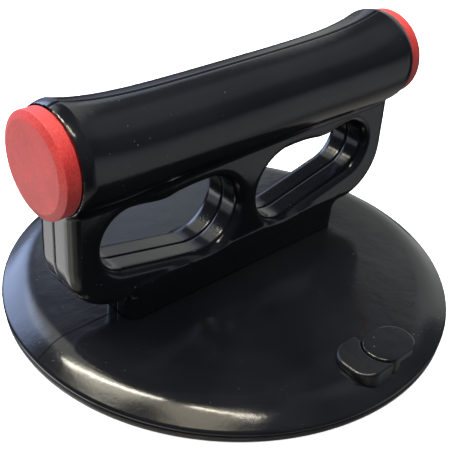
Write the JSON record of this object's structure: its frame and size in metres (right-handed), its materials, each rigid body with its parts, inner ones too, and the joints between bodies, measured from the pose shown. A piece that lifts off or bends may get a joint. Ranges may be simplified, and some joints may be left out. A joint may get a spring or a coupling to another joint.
{
  "type": "suction grab bar",
  "caption": "Round suction pad with a two-opening grab handle, a pump push-button in each end of the bar and a low release lever on the pad.",
  "frame": {"origin": "centre of the pad's sealing face, at the bottom of the object", "axes": "+Z out of the pad through the handle, +X along the bar, -Y towards the release lever"},
  "size_m": [0.1608, 0.1608, 0.0907],
  "materials": {
    "gloss_black": "glossy moulded black plastic",
    "red_buttons": "satin red plastic with a fine grain",
    "rubber": "soft black rubber",
    "white_plastic": "plain white engineering plastic",
    "clear_tube": "milky flexible tube",
    "steel": "bright steel",
    "brass": "turned brass"
  },
  "bodies": {
    "body": {"pad_shell": "gloss_black", "suction_cup": "rubber", "backing_plate": "steel", "port_nipple": "brass", "port_gasket": "rubber", "filter_disc": "white_plastic", "foot_screw_1": "steel", "foot_screw_2": "steel", "foot_screw_3": "steel", "foot_screw_4": "steel", "handle_front_shell": "gloss_black", "handle_rear_shell": "gloss_black", "shell_screw_1": "steel", "shell_screw_2": "steel", "shell_screw_3": "steel", "shell_screw_4": "steel", "right_barrel": "white_plastic", "right_inlet_flap": "rubber", "right_collar": "white_plastic", "right_return_spring": "steel", "right_air_tube": "clear_tube", "left_barrel": "white_plastic", "left_inlet_flap": "rubber", "left_collar": "white_plastic", "left_return_spring": "steel", "left_air_tube": "clear_tube", "tee_fitting": "white_plastic", "down_tube": "clear_tube", "release_housing": "gloss_black", "release_pin": "steel", "release_spring": "steel"},
    "right_pump": {"right_button": "red_buttons", "right_piston": "white_plastic", "right_piston_seal": "rubber", "right_exhaust_flap": "rubber"},
    "left_pump": {"left_button": "red_buttons", "left_piston": "white_plastic", "left_piston_seal": "rubber", "left_exhaust_flap": "rubber"},
    "release": {"release_lever": "gloss_black", "release_plug": "rubber"}
  },
  "joints": [
    {"name": "right_press", "type": "slide", "parent": "body", "child": "right_pump", "axis": [-1, 0, 0], "range_m": [0, 0.0045], "stiffness_N_per_m": 1500, "springref_m": -0.004, "deforming": ["right_return_spring"]},
    {"name": "left_press", "type": "slide", "parent": "body", "child": "left_pump", "axis": [1, 0, 0], "range_m": [0, 0.0045], "stiffness_N_per_m": 1500, "springref_m": -0.004, "deforming": ["left_return_spring"]},
    {"name": "release_tilt", "type": "hinge", "parent": "body", "child": "release", "pos_m": [-0.0052, -0.0696, 0.01065], "axis": [0, -1, 0], "range_deg": [0, 15], "stiffness_Nm_per_rad": 0.02, "springref_deg": -17.19}
  ]
}
